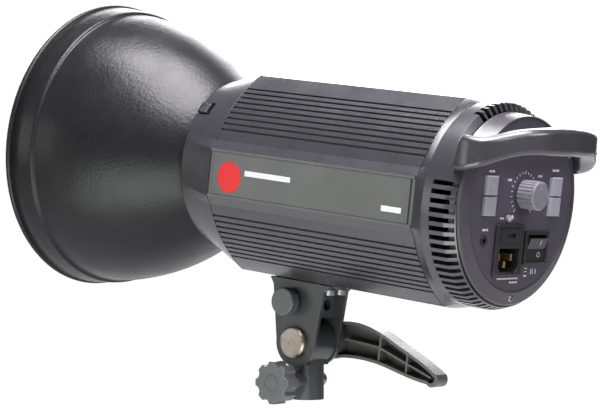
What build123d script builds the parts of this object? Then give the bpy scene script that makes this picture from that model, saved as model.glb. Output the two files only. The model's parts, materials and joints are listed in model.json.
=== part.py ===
from build123d import *

import os
from math import atan2, cos, degrees, hypot, pi, radians, sin

# Monolight studio strobe on its tilting stand adapter, millimetres.
# Row frame: origin at the centre of the stand socket's mouth, +Z up, +Y towards the reflector, +X to the
# right of somebody who stands behind the control panel.
# The head is drawn in its own frame first, where +Y is the lamp axis and y = 0 is the rear bezel's plane,
# then tilted about the yoke's pivot bolt and lifted onto the adapter.

# ---- driving dimensions --------------------------------------------------------------------------
HEAD_TILT = 7.2          # nose-up angle of the head as it stands
PIVOT_Y = 161.0          # yoke pivot behind and below the lamp axis, in the head's frame
PIVOT_Z = -115.0
PIVOT_HEIGHT = 40.0      # pivot above the socket's mouth

SECTION_Z = -3.5         # centre of the extruded section below the lamp axis
SECTION_TOP = 69.3       # half height at the crown
LAND_HALF = 18.0         # half width of the crowned top and bottom lands
LAND_Z = 67.9            # height of the land's edge
SIDE_X = 63.0            # half width over the flat sides
SIDE_HALF = 16.3         # half height of the flat side
RAIL_X = 58.5            # where the bevelled rail meets the shoulder
RAIL_Z = 22.0
SHOULDER_BULGE = 4.6     # how far each shoulder bows outwards
GROOVES = 9              # cooling grooves on each shoulder
GROOVE_PITCH = 4.64
GROOVE_START = 8.5       # first groove from the rail, along the shoulder
GROOVE_WIDTH = 1.7
GROOVE_DEPTH = 1.5
WALL = 3.6               # extrusion wall
LABEL_HALF = 14.6        # half height of the recessed side label
LABEL_DEPTH = 1.0

BODY_REAR = 37.5         # extrusion from here
BODY_FRONT = 211.0       # to here
FRONT_LIP = 240.0        # front housing ends here
FRONT_R = 59.5
DRUM_R = 67.0            # slotted rear drum
DRUM_Z = -3.0            # its centre below the lamp axis
DRUM_FRONT = 24.0
DRUM_CORNER = 9.0        # the angled rear face starts here
DRUM_END_R = 64.2        # and ends at this radius
DRUM_REAR = 2.4
SLOT_PITCH = 5.0         # degrees between vent slots
TOP_SLOT_PITCH = 5.2
SLOT_WIDTH = 3.2
SLOT_FRONT = 21.5
TOP_SLOT_WIDTH = 3.8     # the slots over the panel, in the stepped part of the drum
TOP_SLOT_FRONT = 18.6
STEP_FROM, STEP_TO = 38.0, 142.0     # degrees over which the drum's rear face is stepped
STEP_FRONT = 14.2        # the step's outer edge
STEP_FOOT = 11.6         # its inner edge, where the bezel starts
STEP_FOOT_R = 61.6
BEZEL_R = 65.6
PANEL_R = 55.8
PANEL_FACE = -2.2        # rear face of the control panel
PANEL_THICK = 2.6

YOKE_OUT = 14.0          # yoke plates' outer faces
YOKE_PLATE = 2.6
YOKE_R = 17.0            # rounded foot of each plate
BOLT_R = 4.0             # M8 pivot bolt
KNUCKLE_R = 16.0
SOCKET_R = 11.0          # stand socket's outer radius
SOCKET_BORE = 8.1        # takes the 5/8 inch (15.9 mm) stand spigot
SOCKET_DEPTH = 24.0
CLAMP_HEIGHT = 13.3      # stand clamp screw above the mouth
SCREW_R = 2.5            # M5 umbrella clamp screw
FIT = 0.05               # radial clearance of a running fit

IEC_X, IEC_Z = -11.0, -29.0
ROCKER_X, ROCKER_Z = 21.0, -28.0
SYNC_X, SYNC_Z = -38.5, -23.0
DIAL_X, DIAL_Z = 1.5, 7.0
KEY_X, KEY_Z = 37.0, 5.5
KEY_W, KEY_H = 12.0, 12.4

REFLECTOR_RIM = 370.5
REFLECTOR_R = 103.5
SHEET = 1.2              # spun aluminium


# ---- small helpers -------------------------------------------------------------------------------
def turned(outline):
    """Solid of revolution about the lamp axis from a closed (radius, y) outline."""
    return revolve(make_face(Polyline(*outline, close=True)), Axis.Y)


def ring_y(outer, inner, rear, front):
    return turned([(inner, rear), (outer, rear), (outer, front), (inner, front)])


def rod_y(radius, rear, front, x=0.0, z=0.0):
    return Pos(x, (rear + front) / 2, z) * Rot(90, 0, 0) * Cylinder(radius, front - rear)


def rod_x(radius, left, right, y=0.0, z=0.0):
    return Pos((left + right) / 2, y, z) * Rot(0, 90, 0) * Cylinder(radius, right - left)


def rod_z(radius, low, high, x=0.0, y=0.0):
    return Pos(x, y, (low + high) / 2) * Cylinder(radius, high - low)


def block(x0, x1, y0, y1, z0, z1):
    return Pos((x0 + x1) / 2, (y0 + y1) / 2, (z0 + z1) / 2) * Box(x1 - x0, y1 - y0, z1 - z0)


def prism_y(face, rear, front):
    """Extrudes a face drawn at y = 0 from rear to front."""
    return Pos(0, rear, 0) * extrude(face, amount=front - rear, dir=(0, 1, 0))


def bulged(start, end, bulge):
    """Arc from start to end that bows away from the section's centre."""
    mid_x = (start[0] + end[0]) / 2
    mid_y = (start[1] + end[1]) / 2
    run_x = end[0] - start[0]
    run_y = end[1] - start[1]
    length = hypot(run_x, run_y)
    normal = (run_y / length, -run_x / length)
    if normal[0] * mid_x + normal[1] * mid_y < 0:
        normal = (-normal[0], -normal[1])
    middle = (mid_x + bulge * normal[0], mid_y + bulge * normal[1])
    return ThreePointArc(start, middle, end)


def section_corners():
    """Corners of the twelve-sided section, anticlockwise from the upper right land edge."""
    right = [(LAND_HALF, -LAND_Z), (RAIL_X, -RAIL_Z), (SIDE_X, -SIDE_HALF)]
    right += [(x, -z) for x, z in reversed(right)]
    return right + [(-x, z) for x, z in reversed(right)]


def section_face(grow=0.0, radius=None):
    """The section as a face across the lamp axis, or a circle cut at the same twelve corners."""
    corners = section_corners()
    crown = SECTION_TOP - LAND_Z
    bulges = [SHOULDER_BULGE, 0, 0, 0, SHOULDER_BULGE, crown] * 2
    edges = []
    if radius is None:
        factor_x = (SIDE_X + grow) / SIDE_X
        factor_z = (SECTION_TOP + grow) / SECTION_TOP
        points = [(x * factor_x, z * factor_z) for x, z in corners]
        shift = SECTION_Z
    else:
        points = [(radius * x / hypot(x, z), radius * z / hypot(x, z)) for x, z in corners]
        shift = 0.0
    for index, start in enumerate(points):
        end = points[(index + 1) % len(points)]
        if radius is not None:
            bulge = radius - hypot((start[0] + end[0]) / 2, (start[1] + end[1]) / 2)
        else:
            bulge = bulges[index]
        edges.append(bulged(start, end, bulge) if bulge else Line(start, end))
    return Plane.XZ * Pos(0, shift) * make_face(Curve() + edges)


def shoulder_places():
    """Groove centres on the upper right shoulder: (x, z, outward angle) in the section's own frame."""
    start, end = (RAIL_X, RAIL_Z), (LAND_HALF, LAND_Z)
    chord = hypot(end[0] - start[0], end[1] - start[1])
    radius = (chord**2 / 4 + SHOULDER_BULGE**2) / (2 * SHOULDER_BULGE)
    out = atan2(start[0] - end[0], end[1] - start[1])
    middle = ((start[0] + end[0]) / 2, (start[1] + end[1]) / 2)
    out_x, out_z = sin(pi / 2 - out), sin(out)
    centre = (middle[0] - (radius - SHOULDER_BULGE) * out_x, middle[1] - (radius - SHOULDER_BULGE) * out_z)
    first = atan2(start[1] - centre[1], start[0] - centre[0])
    places = []
    for index in range(GROOVES):
        angle = first + (GROOVE_START + index * GROOVE_PITCH) / radius
        places.append((centre[0] + radius * cos(angle), centre[1] + radius * sin(angle), angle))
    return places


def grooved_section():
    """The extrusion's outline with its cooling grooves and side label channels cut in."""
    cuts = []
    for x, z, angle in shoulder_places():
        for side_x in (1, -1):
            for side_z in (1, -1):
                turn = degrees(atan2(side_z * sin(angle), side_x * cos(angle)))
                groove = Rectangle(2 * GROOVE_DEPTH, GROOVE_WIDTH)
                cuts.append(Pos(side_x * x, side_z * z) * Rot(0, 0, turn) * groove)
    for side in (1, -1):
        cuts.append(Pos(side * SIDE_X, 0) * Rectangle(2 * LABEL_DEPTH, 2 * LABEL_HALF))
    tools = [Plane.XZ * Pos(0, SECTION_Z) * cut for cut in cuts]
    return section_face() - tools


def hex_socket_screw(head_r, head_h, shank_r, length):
    """Cap screw along +Z with its head below z = 0 and its shank above."""
    head = Pos(0, 0, -head_h / 2) * Cylinder(head_r, head_h)
    socket = Pos(0, 0, -head_h) * extrude(RegularPolygon(head_r * 0.5, 6), amount=head_h * 0.55)
    return head - socket + Pos(0, 0, length / 2) * Cylinder(shank_r, length)


def cross_screw(head_r, head_h, shank_r, length):
    """Pan-head cross-slot screw along +Z with its head below z = 0."""
    dome = Pos(0, 0, -head_h / 2) * Cylinder(head_r, head_h)
    dome = fillet(dome.faces().sort_by(Axis.Z)[0].edges(), head_h * 0.5)
    long, thin = head_r * 1.2, head_r * 0.3
    bit = Pos(0, 0, -head_h) * (Box(long, thin, head_h) + Box(thin, long, head_h))
    return dome - bit + Pos(0, 0, length / 2) * Cylinder(shank_r, length)


def star_knob(lobes, outer, inner, thick):
    """Lobed knob along +Z from z = 0: a hub with round lobes and round notches between them."""
    body = Cylinder(outer, thick)
    notch = (outer - inner) * 1.15
    for index in range(lobes):
        angle = 360 / lobes * (index + 0.5)
        body -= Rot(0, 0, angle) * Pos(outer + notch * 0.35, 0, 0) * Cylinder(notch, thick)
    body = fillet(body.edges().group_by(Axis.Z)[0] + body.edges().group_by(Axis.Z)[-1], 1.0)
    return Pos(0, 0, thick / 2) * body


parts = {}

# ---- extruded body and its labels ----------------------------------------------------------------
inner_face = section_face(grow=-WALL)
parts["body_extrusion"] = prism_y(grooved_section() - inner_face, BODY_REAR, BODY_FRONT)

label = []
for side in (1, -1):
    centre = side * (SIDE_X - LABEL_DEPTH + 0.4)
    plate = block(centre - 0.4, centre + 0.4, BODY_REAR + 3, BODY_FRONT - 3,
                  SECTION_Z - LABEL_HALF + 0.3, SECTION_Z + LABEL_HALF - 0.3)
    label.append(plate)
parts["side_labels"] = Compound(label)

# ---- front housing: from the section to a round lip ----------------------------------------------
GASKET = 0.6
LIP_BACK = 237.0
LIP_OPENING = 50.7
CATCH_ANGLE = 140.0
CATCH_PIN_R = 51.4
CATCH_WINDOW_BACK = 228.6
catch_place = Rot(0, -CATCH_ANGLE, 0)

front_skin = loft([Pos(0, BODY_FRONT + GASKET, 0) * section_face(),
                   Pos(0, FRONT_LIP, 0) * section_face(radius=FRONT_R)])
front_hollow = loft([Pos(0, BODY_FRONT + GASKET, 0) * section_face(grow=-WALL),
                     Pos(0, LIP_BACK, 0) * section_face(radius=FRONT_R - 3.0)])
catch_window = catch_place * block(49.9, 80, CATCH_WINDOW_BACK, FRONT_LIP + 1, -5.2, 5.2)
front_housing = front_skin - front_hollow - rod_y(LIP_OPENING, LIP_BACK - 2, FRONT_LIP + 2)
parts["front_housing"] = front_housing - catch_window

seal_face = section_face(grow=-0.8) - section_face(grow=-3.0)
parts["body_seals"] = Compound([
    prism_y(seal_face, BODY_FRONT, BODY_FRONT + GASKET),
    prism_y(seal_face, BODY_REAR - GASKET, BODY_REAR),
])

# ---- bayonet ring and release catch --------------------------------------------------------------
RING_IN = 46.6
RING_FRONT = 239.4
RING_BACK = 233.6
ENTRY_TURN = 40.0        # from the locked lug to its entry gap
ENTRY_HALF = 15.5        # degrees
LUG_HALF = 14.0
ENTRY_R = 49.6
ENTRY_WIDTH = 2 * 48.0 * sin(radians(ENTRY_HALF))

bayonet = ring_y(LIP_OPENING - 0.3, RING_IN, LIP_BACK - 0.1, RING_FRONT)
bayonet += ring_y(56.0, RING_IN, RING_BACK, LIP_BACK)
for index in range(3):
    entry = block(40, ENTRY_R, RING_BACK - 1, RING_FRONT + 1, -ENTRY_WIDTH / 2, ENTRY_WIDTH / 2)
    bayonet -= Rot(0, 120 * index - ENTRY_TURN, 0) * entry
ring_screws = []
for index in range(6):
    place = Rot(0, 60 * index + 10, 0) * Pos(53.4, RING_BACK, 0)
    bayonet -= place * Rot(90, 0, 0) * Cylinder(1.05, 12)
    parts["front_housing"] -= place * Rot(90, 0, 0) * Cylinder(1.0, 11)
    ring_screws.append(place * Rot(-90, 0, 0) * cross_screw(1.7, 1.2, 1.0, 5.4))
bayonet -= catch_place * rod_y(1.7, 228, 245, x=CATCH_PIN_R)
parts["bayonet_ring"] = bayonet
machine_screws = list(ring_screws)

CATCH_BACK = 231.5
CATCH_TOP = 60.6
catch = rod_y(1.6, CATCH_BACK, 242.2, x=CATCH_PIN_R)
catch += block(49.6, 57.6, CATCH_BACK, CATCH_BACK + 1.4, -3.2, 3.2)
catch += block(56.6, CATCH_TOP, CATCH_BACK, FRONT_LIP - 0.5, -4.2, 4.2)
for ridge in range(3):
    ridge_back = CATCH_BACK + 1.0 + 2 * ridge
    catch += block(CATCH_TOP - 0.4, CATCH_TOP + 0.6, ridge_back, ridge_back + 1, -4.2, 4.2)
parts["release_catch"] = catch_place * catch

# ---- bulkhead, insulating plate, flash tube, modelling lamp --------------------------------------
BULKHEAD_BACK = 206.0
PLATE_BACK = 210.0
PLATE_FRONT = 213.0
TUBE_R = 4.2
TUBE_RING = 27.0
TUBE_Y = 236.0
SOCKET_LAMP_R = 17.0
tube_legs = [(TUBE_RING * cos(radians(a)), TUBE_RING * sin(radians(a))) for a in (-105, -75)]
plate_screws = [Rot(0, 90 * k + 45, 0) * Pos(44, PLATE_FRONT, 0) for k in range(4)]

bulkhead = prism_y(section_face(grow=-WALL - 0.1), BULKHEAD_BACK, PLATE_BACK) - rod_y(36.0, 200, 215)
insulator = rod_y(49.0, PLATE_BACK, PLATE_FRONT) - rod_y(SOCKET_LAMP_R, 205, 218)
for x, z in tube_legs:
    insulator -= rod_y(6.0, 205, 218, x=x, z=z)
for place in plate_screws:
    bulkhead -= place * Rot(90, 0, 0) * Cylinder(1.5, 20)
    insulator -= place * Rot(90, 0, 0) * Cylinder(1.6, 20)
parts["insulating_plate"] = insulator
machine_screws += [place * Rot(90, 0, 0) * cross_screw(3.0, 1.8, 1.5, 6.8) for place in plate_screws]

tube = revolve(Plane.XY * Pos(TUBE_RING, TUBE_Y) * Circle(TUBE_R), Axis((0, 0, 0), (0, -1, 0)), 330)
tube = Rot(0, 75, 0) * tube
sockets = []
for x, z in tube_legs:
    tube += Pos(x, TUBE_Y, z) * Sphere(TUBE_R) + rod_y(TUBE_R, 204, TUBE_Y, x=x, z=z)
    sockets.append(Pos(x, 0, z) * ring_y(6.0, TUBE_R, 205, 218))
parts["flash_tube"] = tube
parts["tube_sockets"] = Compound(sockets)

LAMP_BASE_R = 13.0
parts["lamp_socket"] = turned([
    (0, 192), (SOCKET_LAMP_R, 192), (SOCKET_LAMP_R, 222), (13.6, 222), (13.6, 198), (0, 198),
])
ridges = [(0, 199), (9, 199)]
for turn in range(6):
    low = 201 + 3 * turn
    ridges += [(LAMP_BASE_R - 0.9, low), (LAMP_BASE_R, low + 1.5)]
ridges += [(LAMP_BASE_R - 0.9, 219), (LAMP_BASE_R - 0.9, 222), (0, 222)]
parts["lamp_base"] = turned(ridges)
bulb_wall = Line((11.4, 222), (11.4, 227)) + Spline((11.4, 227), (15.5, 236), tangents=[(0, 1), (0, 1)])
bulb_wall += Line((15.5, 236), (15.5, 267)) + RadiusArc((15.5, 267), (0, 282.5), -15.5)
bulb_face = make_face(bulb_wall + Line((0, 282.5), (0, 222)) + Line((0, 222), (11.4, 222)))
bulb_hollow = rod_y(10.4, 223, 232) + turned([(0, 232), (10.4, 232), (14.4, 237), (14.4, 267), (0, 267)])
bulb_hollow += Pos(0, 267, 0) * Sphere(14.4)
parts["modelling_lamp"] = revolve(bulb_face, Axis.Y) - bulb_hollow

# ---- reflector -----------------------------------------------------------------------------------
FLANGE_BACK = 240.3
BOWL_START = (50.0, FLANGE_BACK + 2.0)
BOWL_KNOTS = [(57.6, 250.0), (71.5, 270.0), (82.4, 290.0), (90.6, 310.0), (96.4, 330.0), (99.2, 346.0)]
BEAD_R = 2.0


def pushed_in(points, distance):
    """The same curve moved towards the axis by the sheet's thickness."""
    moved = []
    for index, (radius, y) in enumerate(points):
        before = points[max(index - 1, 0)]
        after = points[min(index + 1, len(points) - 1)]
        run_r, run_y = after[0] - before[0], after[1] - before[1]
        length = hypot(run_r, run_y)
        moved.append((radius - distance * run_y / length, y + distance * run_r / length))
    return moved


outer_knots = [BOWL_START] + BOWL_KNOTS
inner_knots = pushed_in(outer_knots, SHEET)
inner_knots[0] = (outer_knots[0][0] - SHEET * 1.2, outer_knots[0][1])
band = [(100.9, 347.4), (103.4, REFLECTOR_RIM - BEAD_R)]
shell = Spline(*outer_knots) + Polyline(outer_knots[-1], *band, (band[1][0] - SHEET, band[1][1]))
shell += Polyline((band[1][0] - SHEET, band[1][1]), (band[0][0] - SHEET - 0.2, 348.6), inner_knots[-1])
shell += Spline(*reversed(inner_knots)) + Line(inner_knots[0], outer_knots[0])
bowl = revolve(make_face(shell), Axis.Y)
bowl += revolve(Plane.XY * Pos(REFLECTOR_R - 0.8, REFLECTOR_RIM - BEAD_R) * Circle(BEAD_R), Axis.Y)
parts["reflector_bowl"] = bowl

RING_BORE = 42.0
FLANGE_FRONT = FLANGE_BACK + 2.0
LUG_BACK, LUG_FRONT = 229.6, RING_BACK - 0.4
mount_ring = ring_y(55.4, RING_BORE, FLANGE_BACK, FLANGE_FRONT)
mount_ring += ring_y(RING_IN - 0.3, RING_BORE, LUG_BACK, FLANGE_BACK + 0.1)
lug_width = 2 * 48.0 * sin(radians(LUG_HALF))
for index in range(3):
    lug = block(30, 60, LUG_BACK, LUG_FRONT, -lug_width / 2, lug_width / 2)
    mount_ring += Rot(0, 120 * index, 0) * (lug & ring_y(49.2, 44.0, LUG_BACK, LUG_FRONT))
slot_face = Plane.XY * Pos(CATCH_PIN_R, FLANGE_BACK + 1) * Rectangle(4.0, 4.0)
slot_arc = revolve(slot_face, Axis.Y, ENTRY_TURN + 4)
mount_ring -= Rot(0, -CATCH_ANGLE - 2, 0) * slot_arc
RIVET_R, RIVET_HEAD_R = 1.5, 2.2
rivet_places = [Rot(0, 60 * k + 20, 0) * Pos(44.3, 0, 0) for k in range(6)]
for place in rivet_places:
    mount_ring -= place * rod_y(RIVET_R, 235, 245)
parts["reflector_ring"] = mount_ring
rivets = []
for place in rivet_places:
    rivet = rod_y(RIVET_R, 238.5, FLANGE_FRONT) + rod_y(RIVET_HEAD_R, FLANGE_FRONT, FLANGE_FRONT + 1.0)
    rivets.append(place * rivet)
parts["reflector_rivets"] = Compound(rivets)

# ---- electronics in the extrusion ----------------------------------------------------------------
FAN_BACK, FAN_FRONT = 42.0, 59.0
REAR_BULKHEAD = 62.0
CAN_R = 17.0
CAN_X = 18.5
CAN_Z = (-25.8, 9.4)
TRAY_TOP = CAN_Z[0] - CAN_R - 0.1
BOARD_Z = 32.0

rear_bulkhead = prism_y(section_face(grow=-WALL - 0.1), FAN_FRONT, REAR_BULKHEAD) - rod_y(33.0, 50, 70)
fan_corners = [(x, z) for x in (-30.5, 30.5) for z in (-30.5, 30.5)]
for x, z in fan_corners:
    rear_bulkhead -= rod_y(1.6, 50, 70, x=x, z=z)
parts["bulkheads"] = Compound([bulkhead, rear_bulkhead])
tray = block(-40, 40, REAR_BULKHEAD, BULKHEAD_BACK, TRAY_TOP - 2, TRAY_TOP)
tray += block(-40, 40, REAR_BULKHEAD, REAR_BULKHEAD + 2, TRAY_TOP - 2, TRAY_TOP + 8)
tray += block(-40, 40, BULKHEAD_BACK - 2, BULKHEAD_BACK, TRAY_TOP - 2, TRAY_TOP + 8)
parts["chassis_tray"] = tray

cans = []
clamp_plate = block(-37, 37, 84, 87, TRAY_TOP, CAN_Z[1] + CAN_R + 2)
clamp_plate += block(-37, 37, 150, 153, TRAY_TOP, CAN_Z[1] + CAN_R + 2)
for x in (-CAN_X, CAN_X):
    for z in CAN_Z:
        can = fillet(rod_y(CAN_R, 74, 166, x=x, z=z).edges(), 1.5)
        can += rod_y(4.0, 166, 169, x=x - 7, z=z) + rod_y(4.0, 166, 169, x=x + 7, z=z)
        cans.append(can)
        clamp_plate -= rod_y(CAN_R, 80, 160, x=x, z=z)
parts["flash_capacitors"] = Compound(cans)
parts["capacitor_clamps"] = clamp_plate

PILLAR_X = 37.9
pillars = []
for x in (-PILLAR_X, PILLAR_X):
    for y in (70.0, 196.0):
        pillars.append(rod_z(1.9, TRAY_TOP, BOARD_Z, x=x, y=y))
board_parts = [block(-40, 40, 64, 202, BOARD_Z, BOARD_Z + 1.6)]
sink = block(-26, 26, 84, 124, BOARD_Z + 1.6, BOARD_Z + 4)
for fin in range(9):
    sink += block(-26 + 6.25 * fin, -24 + 6.25 * fin, 84, 124, BOARD_Z + 1.6, BOARD_Z + 16)
board_parts.append(sink)
for x in (-14, 14):
    choke = rod_z(10.0, BOARD_Z + 1.6, BOARD_Z + 13, x=x, y=142)
    board_parts.append(choke - rod_z(4.5, BOARD_Z, BOARD_Z + 15, x=x, y=142))
    board_parts.append(block(x - 9, x + 9, 162, 190, BOARD_Z + 1.6, BOARD_Z + 14))
parts["power_board"] = Compound(board_parts)
parts["trigger_coil"] = rod_y(7.5, 172, BULKHEAD_BACK, x=48.0, z=-4) - rod_y(2.0, 170, 215, x=48.0, z=-4)

# ---- fan -----------------------------------------------------------------------------------------
FAN_R = 31.5
frame_face = Plane.XZ * (RectangleRounded(70, 70, 5) - Circle(FAN_R + 1))
fan_frame = prism_y(frame_face, FAN_BACK, FAN_FRONT)
fan_frame += rod_y(12.0, FAN_FRONT - 3, FAN_FRONT)
for index in range(4):
    fan_frame += Rot(0, 90 * index + 45, 0) * block(10, FAN_R + 2, FAN_FRONT - 3, FAN_FRONT, -2, 2)
fan_frame += rod_y(3.2, FAN_FRONT - 7, FAN_FRONT)
fan_frame -= rod_y(1.5 + FIT, FAN_FRONT - 8, FAN_FRONT - 1)
for x, z in fan_corners:
    fan_frame -= rod_y(1.6, 30, 70, x=x, z=z)
parts["fan_frame"] = fan_frame
for x, z in fan_corners:
    place = Pos(x, FAN_BACK, z) * Rot(-90, 0, 0)
    machine_screws.append(place * cross_screw(2.8, 1.6, 1.5, REAR_BULKHEAD - FAN_BACK))
rotor = turned([(1.5, FAN_BACK + 1), (12, FAN_BACK + 1), (12, FAN_FRONT - 4), (10.8, FAN_FRONT - 4),
                (10.8, FAN_BACK + 2.5), (1.5, FAN_BACK + 2.5)])
rotor += rod_y(1.5, FAN_BACK + 1, FAN_FRONT - 1.5)
blade = Pos(20.9, (FAN_BACK + FAN_FRONT) / 2 - 1.8, 0) * Rot(40, 0, 0) * Box(19.6, 13.0, 1.2)
for index in range(7):
    rotor += Rot(0, 360 / 7 * index, 0) * blade
parts["fan_rotor"] = rotor

# ---- slotted rear housing and bezel --------------------------------------------------------------
LOWER_SLOTS = 42
UPPER_SLOTS = 12
NECK = 27.5              # the round drum ends here and blends to the extrusion's section
rear_neck = loft([Pos(0, NECK, DRUM_Z) * section_face(radius=DRUM_R),
                  Pos(0, BODY_REAR - GASKET, 0) * section_face()])
neck_hollow = loft([Pos(0, NECK, DRUM_Z) * section_face(radius=DRUM_R - 5),
                    Pos(0, BODY_REAR - GASKET, 0) * section_face(grow=-WALL)])
drum = Pos(0, 0, DRUM_Z) * turned([
    (DRUM_R - 5, DRUM_REAR), (DRUM_END_R, DRUM_REAR), (DRUM_R - 0.6, DRUM_CORNER - 1),
    (DRUM_R, DRUM_CORNER + 1), (DRUM_R, NECK), (DRUM_R - 5, NECK),
])
STEP_REACH = 90.0        # well outside the drum
step_ends = []
for angle in (STEP_FROM, STEP_TO):
    step_ends.append((STEP_REACH * cos(radians(angle)), STEP_REACH * sin(radians(angle))))
step_wedge = make_face(Polyline(
    (0, 0), step_ends[0], (40, STEP_REACH), (-40, STEP_REACH), step_ends[1], close=True))
step_sector = Pos(0, 30, DRUM_Z) * extrude(Plane.XZ * step_wedge, amount=40)
step_cut = Pos(0, 0, DRUM_Z) * turned([
    (STEP_FOOT_R + 0.2, -5), (80, -5), (80, STEP_FRONT),
    (DRUM_R, STEP_FRONT), (STEP_FOOT_R + 0.2, STEP_FOOT),
])
drum -= step_cut & step_sector


def fan_of_slots(middle, count, pitch, width, front):
    slot = block(DRUM_R - 8, DRUM_R + 8, DRUM_REAR + 1.0, front, -width / 2, width / 2)
    angles = [middle + pitch * (k - (count - 1) / 2) for k in range(count)]
    return [Pos(0, 0, DRUM_Z) * Rot(0, -angle, 0) * slot for angle in angles]


slots = fan_of_slots(90, UPPER_SLOTS, TOP_SLOT_PITCH, TOP_SLOT_WIDTH, TOP_SLOT_FRONT)
slots += fan_of_slots(270, LOWER_SLOTS, SLOT_PITCH, SLOT_WIDTH, SLOT_FRONT)
parts["rear_housing"] = rear_neck - neck_hollow + (drum - slots)

BEZEL_BACK = -2.4
bezel = turned([
    (PANEL_R + 0.1, BEZEL_BACK), (PANEL_R + 1.2, BEZEL_BACK - 0.3), (BEZEL_R - 0.8, -0.6),
    (BEZEL_R, 0.2), (BEZEL_R, 1.2), (DRUM_END_R - 1, DRUM_REAR), (PANEL_R + 0.1, DRUM_REAR),
])
BEZEL_SCREW_R = 61.0
BEZEL_EDGE = BEZEL_BACK - 0.3


def bezel_cone(edge_radius, foot_radius):
    """From round the panel to the foot of the step in the drum."""
    return loft([Plane.XZ.offset(-BEZEL_EDGE) * Circle(edge_radius),
                 Plane.XZ.offset(-STEP_FOOT + 0.2) * Pos(0, DRUM_Z) * Circle(foot_radius)])


cone_bore = bezel_cone(PANEL_R + 0.1, STEP_FOOT_R - 1.6)
bezel -= step_sector
bezel += (bezel_cone(PANEL_R + 1.2, STEP_FOOT_R) - cone_bore) & step_sector
for angle in (32, 148, 270):
    place = Rot(0, -angle, 0) * Pos(BEZEL_SCREW_R, -1.0, 0)
    bezel -= place * Rot(90, 0, 0) * Cylinder(1.25, 12)
    bezel -= place * rod_y(2.3, -4, 0)
    machine_screws.append(place * Rot(-90, 0, 0) * cross_screw(2.1, 1.1, 1.25, 3.4))
parts["rear_bezel"] = bezel

# ---- control panel -------------------------------------------------------------------------------
PANEL_BACK = PANEL_FACE + PANEL_THICK
KEY_GAP = 0.7
KEY_CLEAR = 0.35
IEC_W, IEC_H = 31.0, 33.4
ROCKER_W, ROCKER_H = 27.0, 21.5
TEST_X, TEST_Z = -13.5, -8.8

key_centres = []
for side in (-1, 1):
    for level in (1, -1):
        key_centres.append((side * KEY_X, KEY_Z + level * (KEY_H + KEY_GAP) / 2))
panel = rod_y(PANEL_R, PANEL_FACE, PANEL_BACK)
panel -= block(IEC_X - 13.6, IEC_X + 13.6, -9, 9, IEC_Z - 14.8, IEC_Z + 14.8)
panel -= block(ROCKER_X - 12.1, ROCKER_X + 12.1, -9, 9, ROCKER_Z - 9.4, ROCKER_Z + 9.4)
panel -= rod_y(3.6, -9, 9, x=DIAL_X, z=DIAL_Z)
panel -= rod_y(2.9, -9, 9, x=SYNC_X, z=SYNC_Z)
panel -= rod_y(2.6, -9, 9, x=TEST_X, z=TEST_Z)
for side in (-1, 1):
    half_w = KEY_W / 2 + KEY_CLEAR
    half_h = KEY_H + KEY_GAP / 2 + KEY_CLEAR
    panel -= block(side * KEY_X - half_w, side * KEY_X + half_w, -9, 9, KEY_Z - half_h, KEY_Z + half_h)
SHELF_BACK, SHELF_FRONT = 5.5, 9.5
shelf = Pos(0, 0, DRUM_Z) * ring_y(DRUM_R - 4.5, 50.0, SHELF_BACK, SHELF_FRONT)
for angle in (58, 122, 228, 302):
    place = Rot(0, -angle, 0) * Pos(52.0, SHELF_FRONT, 0) * Rot(90, 0, 0)
    boss = place * Pos(0, 0, (SHELF_FRONT - PANEL_BACK) / 2) * Cylinder(3.2, SHELF_FRONT - PANEL_BACK)
    shelf = shelf + boss - place * Cylinder(1.5, 30)
    panel -= place * Pos(0, 0, 5.6) * Cylinder(1.5, 10.0)
    machine_screws.append(place * cross_screw(2.8, 1.5, 1.5, 10.5))
parts["control_panel"] = panel
shelf_top = shelf & step_sector & bezel_cone(PANEL_R - 0.1, STEP_FOOT_R - 1.8)
parts["rear_housing"] += shelf - step_sector + shelf_top

BOARD_FRONT = 17.6
BOARD_BACK = 16.0
control_parts = [block(-45, 45, BOARD_BACK, BOARD_FRONT, -12, 34)]
pillars += [rod_y(2.2, SHELF_FRONT, BOARD_BACK, x=x, z=31.0) for x in (-42.5, 42.5)]
parts["board_pillars"] = Compound(pillars)

KEY_FACE = PANEL_FACE - 2.4
KEY_TRAVEL = 1.0
SWITCH_FACE = 12.6
names = ("left_upper", "left_lower", "right_upper", "right_lower")
for name, (x, z) in zip(names, key_centres):
    cap = block(x - KEY_W / 2, x + KEY_W / 2, KEY_FACE, PANEL_BACK + 1.0, z - KEY_H / 2, z + KEY_H / 2)
    cap = fillet(cap.faces().sort_by(Axis.Y)[0].edges(), 0.9)
    cap += rod_y(2.0, PANEL_BACK + 1.0, SWITCH_FACE - KEY_TRAVEL - 0.2, x=x, z=z)
    parts["key_" + name] = cap
    control_parts.append(block(x - 3.5, x + 3.5, SWITCH_FACE, BOARD_BACK, z - 3.5, z + 3.5))
test = rod_y(2.3, PANEL_FACE - 1.8, SWITCH_FACE - KEY_TRAVEL - 0.2, x=TEST_X, z=TEST_Z)
parts["test_button"] = fillet(test.faces().sort_by(Axis.Y)[0].edges(), 0.6)
control_parts.append(block(TEST_X - 3, TEST_X + 3, SWITCH_FACE, BOARD_BACK, -11.9, -5.9))
parts["control_board"] = Compound(control_parts)

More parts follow.
